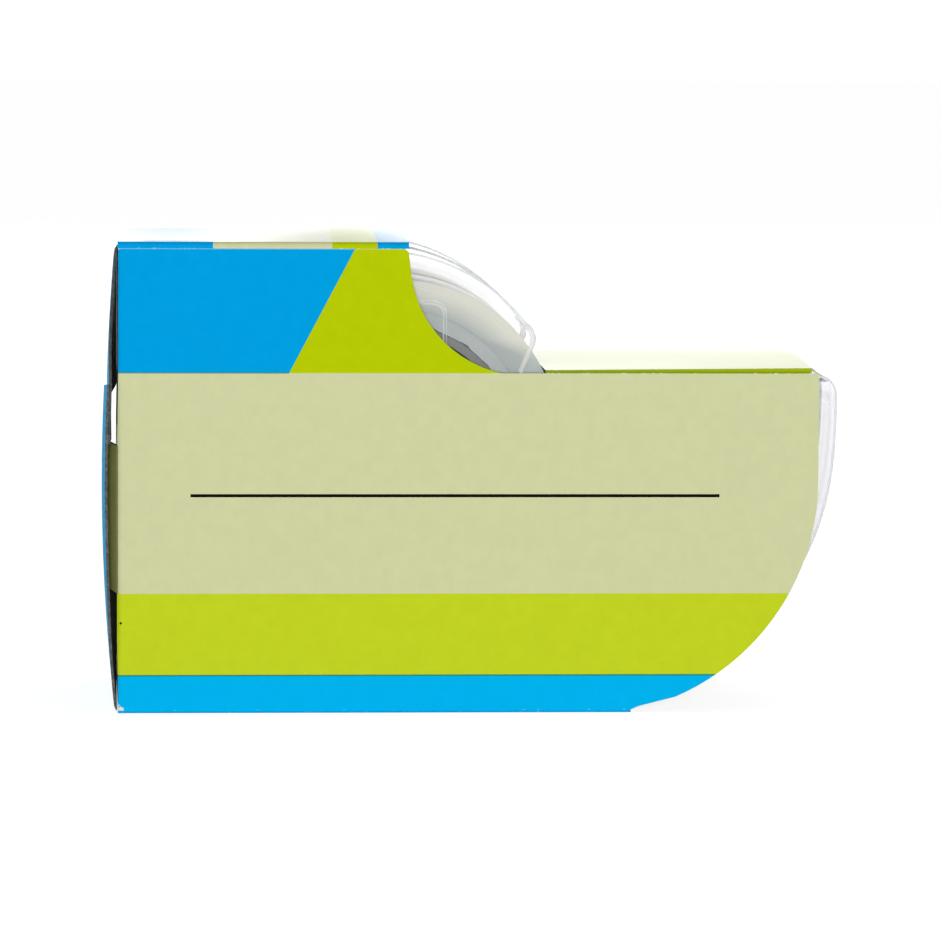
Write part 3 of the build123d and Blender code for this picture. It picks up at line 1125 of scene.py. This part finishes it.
stageSpec = {
    "floorSize": 8.0, "floor": srgb(188, 188, 188), "roughness": 0.9, "specular": 0.1, "lift": 0.8,
    "worldLevel": 0.32, "sweep": (-1.4, 0.7),
}
lampSpecs = {
    "keySoftbox": {
        "place": (-0.078, -1.33, 0.16), "aim": (0.0, 0.0, 0.04), "size": (0.25, 0.25), "power": 11.9,
        "mirrored": False,
    },
    "backSoftbox": {
        "place": (0.0, 1.6, 0.26), "aim": (0.0, 0.0, 0.06), "size": (1.8, 0.5), "power": 2.9,
        "mirrored": True,
    },
    "noseSoftbox": {
        "place": (1.1, 0.64, 0.18), "aim": (0.0, 0.0, 0.05), "size": (0.4, 0.25), "power": 7.5,
        "mirrored": False,
    },
    "rearSoftbox": {
        "place": (-0.6, 1.25, 0.11), "aim": (0.0, 0.0, 0.04), "size": (0.5, 0.14), "power": 8.5,
        "mirrored": False,
    },
}
cameraSpec = {
    "place": (-0.0629, -1.044, 0.1304), "aim": (-0.00015, -0.024, 0.0402), "roll": 0.32,
    "lens": 239.0, "sensor": 36.0, "farthest": 50.0,
}
lightDepth = {
    "max_bounces": 32, "transmission_bounces": 32, "glossy_bounces": 12, "transparent_max_bounces": 48,
    "caustics_reflective": False, "caustics_refractive": False,
}


def makeFloor():
    deselectAll()
    bpy.ops.mesh.primitive_plane_add(size=stageSpec["floorSize"], location=(0, 0, 0))
    floor = bpy.context.active_object
    floor.name = "floor"
    material, tree, shader = newMaterial("paleFloor")
    shader.inputs["Base Color"].default_value = stageSpec["floor"]
    shader.inputs["Roughness"].default_value = stageSpec["roughness"]
    shader.inputs["Specular IOR Level"].default_value = stageSpec["specular"]
    lightPath = newNode(tree, "ShaderNodeLightPath")
    shader.inputs["Emission Color"].default_value = (1, 1, 1, 1)
    seen = calc(tree, "MAXIMUM", lightPath.outputs["Is Camera Ray"], lightPath.outputs["Is Transmission Ray"])
    seen = calc(tree, "MAXIMUM", seen, lightPath.outputs["Is Glossy Ray"])
    tree.links.new(calc(tree, "MULTIPLY", seen, stageSpec["lift"]), shader.inputs["Emission Strength"])
    floor.data.materials.append(material)


def makeWorld():
    world = bpy.data.worlds.new("whiteStudio")
    bpy.context.scene.world = world
    world.use_nodes = True
    tree = world.node_tree
    background = tree.nodes["Background"]
    lightPath = newNode(tree, "ShaderNodeLightPath")
    direction = newNode(tree, "ShaderNodeTexCoord")
    split = newNode(tree, "ShaderNodeSeparateXYZ")
    tree.links.new(direction.outputs["Generated"], split.inputs["Vector"])
    sweep = ramp(tree, split.outputs["Y"], *stageSpec["sweep"])  # white sweep behind, dimmer room in front
    mirrored = calc(tree, "MULTIPLY", lightPath.outputs["Is Glossy Ray"], sweep)
    seen = calc(tree, "MAXIMUM", lightPath.outputs["Is Camera Ray"], lightPath.outputs["Is Transmission Ray"])
    seen = calc(tree, "MAXIMUM", seen, mirrored)
    background.inputs["Color"].default_value = (1, 1, 1, 1)
    level = calc(tree, "MULTIPLY_ADD", seen, 1.0 - stageSpec["worldLevel"], stageSpec["worldLevel"])
    tree.links.new(level, background.inputs["Strength"])


def aimAt(thing, target):
    direction = Vector(target) - thing.location
    thing.rotation_euler = direction.to_track_quat("-Z", "Y").to_euler()


def makeLamp(name, spec):
    light = bpy.data.lights.new(name, "AREA")
    light.energy = spec["power"]
    light.shape = "RECTANGLE"
    light.size, light.size_y = spec["size"]
    lamp = bpy.data.objects.new(name, light)
    lamp.location = spec["place"]
    lamp.visible_glossy = spec["mirrored"]
    lamp.visible_transmission = spec["mirrored"]
    lamp.visible_camera = False
    bpy.context.scene.collection.objects.link(lamp)
    aimAt(lamp, spec["aim"])


def makeCamera(spec):
    lens = bpy.data.cameras.new("camera")
    lens.lens = spec["lens"]
    lens.sensor_width = spec["sensor"]
    lens.sensor_fit = "HORIZONTAL"
    lens.clip_end = spec["farthest"]
    camera = bpy.data.objects.new("camera", lens)
    camera.location = spec["place"]
    bpy.context.scene.collection.objects.link(camera)
    aimAt(camera, spec["aim"])
    camera.rotation_euler.rotate_axis("Z", math.radians(spec["roll"]))
    bpy.context.scene.camera = camera


makeFloor()
makeWorld()
for name, spec in lampSpecs.items():
    makeLamp(name, spec)
makeCamera(cameraSpec)
bpy.context.scene.view_settings.view_transform = "Standard"
for bounces, most in lightDepth.items():
    setattr(bpy.context.scene.cycles, bounces, most)
print("stage, light and camera made")
